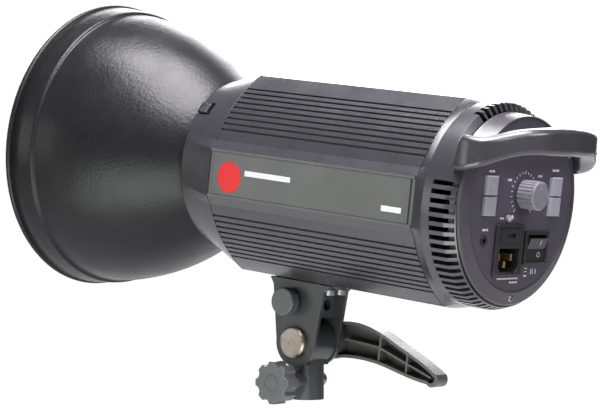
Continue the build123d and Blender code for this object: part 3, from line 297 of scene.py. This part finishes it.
def lathe(profile, steps=180):
    """Closed surface of revolution about Y from a closed (radius, y) loop."""
    mesh = bpy.data.meshes.new("lathe")
    build = bmesh.new()
    rings = []
    for step in range(steps):
        turn = 2 * math.pi * step / steps
        rings.append([build.verts.new((r * math.cos(turn), y, r * math.sin(turn))) for r, y in profile])
    count = len(profile)
    for step in range(steps):
        here, there = rings[step], rings[(step + 1) % steps]
        for index in range(count):
            after = (index + 1) % count
            build.faces.new((here[index], here[after], there[after], there[index]))
    bmesh.ops.recalc_face_normals(build, faces=build.faces)
    build.to_mesh(mesh)
    build.free()
    return mesh


def smooth_curve(knots, steps=10):
    """Catmull-Rom curve through (radius, y) knots."""
    padded = [knots[0], *knots, knots[-1]]
    points = []
    for index in range(1, len(padded) - 2):
        a, b, c, d = (Vector(p) for p in padded[index - 1:index + 3])
        for step in range(steps):
            t = step / steps
            points.append(tuple(0.5 * (2 * b + (c - a) * t + (2 * a - 5 * b + 4 * c - d) * t * t
                                       + (3 * b - a - 3 * c + d) * t * t * t)))
    points.append(tuple(knots[-1]))
    return points


def offset_curve(points, distance):
    """The same curve moved towards the axis."""
    moved = []
    for index, point in enumerate(points):
        before = Vector(points[max(index - 1, 0)])
        after = Vector(points[min(index + 1, len(points) - 1)])
        run = (after - before).normalized()
        moved.append((point[0] - distance * run.y, point[1] + distance * run.x))
    return moved


def raised_marks(items, depth):
    """Flat printed marks: each is a loop of points and the direction that it stands proud in."""
    mesh = bpy.data.meshes.new("marks")
    build = bmesh.new()
    for loop, out in items:
        low = [build.verts.new(Vector(point)) for point in loop]
        high = [build.verts.new(Vector(point) + depth * Vector(out)) for point in loop]
        build.faces.new(high)
        build.faces.new(list(reversed(low)))
        for index in range(len(loop)):
            after = (index + 1) % len(loop)
            build.faces.new((low[index], low[after], high[after], high[index]))
    bmesh.ops.recalc_face_normals(build, faces=build.faces)
    build.to_mesh(mesh)
    build.free()
    return mesh


OUT_REAR = (0, -1, 0)
PANEL_FACE = -2.2        # the control panel's outer face on the lamp axis
NARROW, WIDER = 0.7, 0.42


def panel_bar(x, z, width, height, face, turn=0.0):
    """A rectangle on a plane across the lamp axis, turned about its centre."""
    c, s = math.cos(turn), math.sin(turn)
    a, b = width / 2, height / 2
    corners = [(-a, -b), (a, -b), (a, b), (-a, b)]
    return [(x + a * c - b * s, face, z + a * s + b * c) for a, b in corners], OUT_REAR


def circle(radius, sides):
    """Points round a circle, as pairs."""
    turns = [2 * math.pi * k / sides for k in range(sides)]
    return [(radius * math.cos(turn), radius * math.sin(turn)) for turn in turns]


def panel_disc(x, z, radius, face, sides=32):
    return [(x + a, face, z + b) for a, b in circle(radius, sides)], OUT_REAR


def caption(x, z, blocks, height=1.5, pitch=1.55):
    """A row of small blocks that stands for a printed caption; a 1 is a wide block."""
    start = x - (len(blocks) - 1) * pitch / 2
    return [panel_bar(start + index * pitch, z, NARROW + WIDER * wide, height, PANEL_FACE)
            for index, wide in enumerate(blocks)]


def add_marks(name, items, body, material="white_mark", depth=0.14):
    """Adds printed marks as one flat-shaded piece."""
    add_piece(name, raised_marks(items, depth), body, material, smooth=False)


# ---- the reflector bowl, spun from sheet ------------------------------------------------------------
bowl_low, bowl_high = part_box("reflector_bowl")
RIM_R = (bowl_high.x - bowl_low.x) / 2 / MM
RIM_Y = 370.5
BEAD = 2.0
SHEET = 1.2
BEAD_STEPS = 12
BEAD_START, BEAD_TURN = -105, 285
BOWL_KNOTS = [(50.0, 242.3), (57.6, 250.0), (71.5, 270.0), (82.4, 290.0),
              (90.6, 310.0), (96.4, 330.0), (99.2, 346.0)]
BAND = [(99.75, 346.4), (100.7, 346.7), (101.05, 347.6), (101.3, 349.0), (102.3, 357.0), (103.2, 366.0)]


def bowl_profile():
    """The bowl's outer wall and the bead rolled round its rim, as (radius, y) points."""
    wall = smooth_curve(BOWL_KNOTS) + BAND
    bead_r = RIM_R - BEAD
    bead = []
    for step in range(BEAD_STEPS + 1):
        angle = math.radians(BEAD_START + BEAD_TURN * step / BEAD_STEPS)
        bead.append((bead_r + BEAD * math.cos(angle), RIM_Y - BEAD + BEAD * math.sin(angle)))
    return wall, bead


wall, bead = bowl_profile()
middle = offset_curve(wall, SHEET * 0.5)
outer_loop = wall + bead + list(reversed(middle))
inner_loop = middle + [bead[-1]] + list(reversed(offset_curve(wall, SHEET)))
shell = add_piece("reflector_shell", lathe(outer_loop), "reflector", "reflector_outside")
add_piece("reflector_lining", lathe(inner_loop), "reflector", "spun_aluminium")
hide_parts("reflector_bowl")

# ---- printed marks ----------------------------------------------------------------------------------
dial = joint_place("dial_turn")
TICKS = 21
SCALE_SWEEP = 280         # degrees of the dial's scale
SCALE_R = 13.6
TICK_LONG, TICK_SHORT, TICK_WIDTH = 2.6, 1.9, 0.38
LONG_SHIFT = 0.4          # moves a long tick outwards, so that its inner end lines up


def dial_scale():
    """Ticks round the dial, every fifth one longer."""
    ticks = []
    for index in range(TICKS):
        angle = math.radians(90 + SCALE_SWEEP / 2 - SCALE_SWEEP * index / (TICKS - 1))
        major = index % 5 == 0
        radius = SCALE_R + (LONG_SHIFT if major else 0.0)
        ticks.append(panel_bar(dial.x + radius * math.cos(angle), dial.z + radius * math.sin(angle),
                               TICK_LONG if major else TICK_SHORT, TICK_WIDTH, PANEL_FACE, angle))
    return ticks


marks = dial_scale()
marks += caption(-36.5, 20.9, (1, 0, 1, 1))
marks += caption(36.5, 22.6, (1, 1, 0, 1, 1))
marks += caption(-15.8, 15.8, (1, 0, 1))
marks += caption(18.6, 18.6, (1, 0, 1))
marks += caption(-20.4, -8.8, (1, 0, 1), 1.3, 1.5)
marks += caption(-37.6, -16.2, (1, 1, 0, 1))
marks += caption(-7.6, -47.6, (0, 1, 0, 1, 1, 0, 1, 1, 0, 1, 1, 0, 1, 1, 0, 1), 1.1, 1.5)
marks += caption(-0.2, -50.2, (1, 1, 0, 1, 0, 1), 1.1, 1.5)
# plain bars where such panels carry approval marks
MARK_X = 12.8
for z, width, height in ((-43.4, 2.4, 0.5), (-41.4, 3.2, 0.5), (-46.2, 3.2, 0.8)):
    marks.append(panel_bar(MARK_X, z, width, height, PANEL_FACE))
marks += [panel_bar(x, -43.5, 0.6, 3.4, PANEL_FACE) for x in (19.0, 21.0, 24.4)]
marks.append(panel_bar(-8.6, -8.0, 2.2, 2.2, PANEL_FACE, math.pi / 4))
add_marks("panel_marks", marks, "head")

LABEL_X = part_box("side_labels")[1].x / MM


def side_bar(side, y0, y1, z0, z1):
    x = side * LABEL_X
    return [(x, y0, z0), (x, y1, z0), (x, y1, z1), (x, y0, z1)], (side, 0, 0)


def side_disc(side, y, z, radius, sides=40):
    return [(side * LABEL_X, y + a, z + b) for a, b in circle(radius, sides)], (side, 0, 0)


BADGE_Y, BADGE_Z, BADGE_R = 193.0, -5.0, 10.6
LONG_BAR = (139.0, 179.0, -3.0, 0.6)
SHORT_BAR = (46.0, 62.0, -12.0, -8.4)
red, light = [], []
for side in (-1, 1):
    red.append(side_disc(side, BADGE_Y, BADGE_Z, BADGE_R))
    light.append(side_bar(side, *LONG_BAR))
    light.append(side_bar(side, *SHORT_BAR))
add_marks("label_badge", red, "head", "red_mark", 0.10)
add_marks("label_bars", light, "head", depth=0.10)

# ---- marks on the moving controls --------------------------------------------------------------------
WELL_BEHIND = -60.0       # the rays start here, clear of every control


def on_node(node, loop_and_out, lift=0.02):
    """Lays a mark on whatever surface of a node faces the rear behind each of its points."""
    loop, out = loop_and_out
    solid = frame["nodes"][node]
    to_local = solid.matrix_world.inverted() @ HEAD
    laid = []
    for x, _, z in loop:
        start = to_local @ (Vector((x, WELL_BEHIND, z)) * MM)
        ahead = (to_local.to_3x3() @ Vector((0, 1, 0))).normalized()
        hit, place, _, _ = solid.ray_cast(start, ahead)
        back = (to_local.inverted() @ place) / MM if hit else Vector((x, PANEL_FACE, z))
        laid.append((x, back.y - lift, z))
    return laid, out


POINTER_R = 6.1           # the middle of the pointer, from the dial's axis
pointer = panel_bar(dial.x, dial.z + POINTER_R, 0.8, 5.4, 0.0)
add_marks("dial_pointer", [on_node("power_dial", pointer)], "power_dial", depth=0.10)
rocker = joint_place("rocker_tip")
SYMBOL_X = rocker.x + 3.2
ON_Z, OFF_Z, OFF_R = -24.6, -32.4, 1.5
off_ring = [panel_bar(SYMBOL_X + a, OFF_Z + b, 0.45, 0.45, 0.0) for a, b in circle(OFF_R, 24)]
symbols = [panel_bar(SYMBOL_X, ON_Z, 0.6, 3.0, 0.0), *off_ring]
add_marks("rocker_marks", [on_node("power_rocker", item) for item in symbols], "power_rocker",
          depth=0.08)
button = box_middle("test_button")
dot = panel_disc(button.x, button.z, 0.9, 0.0)
add_marks("test_dot", [on_node("test_button", dot)], "test_button", depth=0.08)

# ---- floor, light and camera --------------------------------------------------------------------------
FLOOR_Z = -0.35
FLOOR_HALF = 14.0


def add_floor():
    """A flat floor: grey to the light that it reflects, and white to the camera."""
    mesh = bpy.data.meshes.new("floor")
    half = FLOOR_HALF
    corners = [(-half, -half), (half, -half), (half, half), (-half, half)]
    mesh.from_pydata([(x, y, FLOOR_Z) for x, y in corners], [], [(0, 1, 2, 3)])
    floor = bpy.data.objects.new("floor", mesh)
    bpy.context.scene.collection.objects.link(floor)
    g = Graph("floor_paint")
    g.join(g.mixed(g.noise(3.0), (0.34, 0.34, 0.34), (0.38, 0.38, 0.38)), g.shader.inputs["Base Color"])
    g.shader.inputs["Roughness"].default_value = 0.9
    g.shader.inputs["Emission Color"].default_value = (1, 1, 1, 1)
    seen = g.node("ShaderNodeLightPath").outputs["Is Camera Ray"]
    g.join(g.ranged(seen, 0.0, 1.0, 0.0, 1.0), g.shader.inputs["Emission Strength"])
    mesh.materials.append(g.material)


def soft_light(name, place, target, width, height, watts, colour):
    """A rectangular lamp at a place, facing a target."""
    light = bpy.data.lights.new(name, "AREA")
    light.shape = "RECTANGLE"
    light.size, light.size_y = width, height
    light.energy = watts
    light.color = colour
    holder = bpy.data.objects.new(name, light)
    holder.location = place
    holder.rotation_euler = (Vector(target) - Vector(place)).to_track_quat("-Z", "Y").to_euler()
    bpy.context.scene.collection.objects.link(holder)


def sky():
    """White behind the object, and a softer grey dome for the light that reaches it."""
    world = bpy.data.worlds.new("studio")
    bpy.context.scene.world = world
    world.use_nodes = True
    nodes, links = world.node_tree.nodes, world.node_tree.links
    dome = nodes["Background"]
    dome.inputs["Color"].default_value = (0.80, 0.81, 0.84, 1)
    dome.inputs["Strength"].default_value = 0.07
    white = nodes.new("ShaderNodeBackground")
    white.inputs["Color"].default_value = (1, 1, 1, 1)
    white.inputs["Strength"].default_value = 1.0
    rays = nodes.new("ShaderNodeLightPath")
    mix = nodes.new("ShaderNodeMixShader")
    links.new(rays.outputs["Is Camera Ray"], mix.inputs[0])
    links.new(dome.outputs[0], mix.inputs[1])
    links.new(white.outputs[0], mix.inputs[2])
    links.new(mix.outputs[0], nodes["World Output"].inputs["Surface"])


CAMERA_PLACE = (-1.1405, -0.9336, 0.1235)
CAMERA_AZIMUTH, CAMERA_ELEVATION = -50.48, -0.407
SENSOR_WIDTH, LENS = 36.0, 127.6


def camera():
    """At the left rear, level with the object and almost horizontal."""
    azimuth, elevation = math.radians(CAMERA_AZIMUTH), math.radians(CAMERA_ELEVATION)
    back = Vector((math.sin(azimuth) * math.cos(elevation), -math.cos(azimuth) * math.cos(elevation),
                   math.sin(elevation)))
    data = bpy.data.cameras.new("camera")
    data.sensor_width = SENSOR_WIDTH
    data.lens = LENS
    data.clip_start, data.clip_end = 0.05, 60.0
    view = bpy.data.objects.new("camera", data)
    view.location = CAMERA_PLACE
    view.rotation_euler = back.to_track_quat("Z", "Y").to_euler()
    bpy.context.scene.collection.objects.link(view)
    bpy.context.scene.camera = view


add_floor()
sky()
MIDDLE = (0.0, 0.0, 0.14)
soft_light("top_softbox", (-0.22, -0.32, 1.30), MIDDLE, 0.8, 1.3, 80.0, (0.96, 0.94, 1.0))
soft_light("back_wall", (1.9, 1.6, 1.0), MIDDLE, 3.4, 1.8, 135.0, (0.97, 0.96, 1.0))
soft_light("rear_softbox", (0.05, -1.80, 0.75), (0, -0.15, 0.15), 0.9, 0.7, 21.0, (0.96, 0.95, 1.0))
soft_light("side_strip", (-1.5, 1.1, 0.30), MIDDLE, 0.7, 0.8, 4.6, (1.0, 0.99, 0.96))
soft_light("low_fill", (-0.42, -0.05, -0.33), (-0.15, 0.05, 0.15), 0.8, 1.0, 11.0, (0.97, 1.0, 0.97))
camera()
bpy.context.scene.view_settings.view_transform = "Standard"
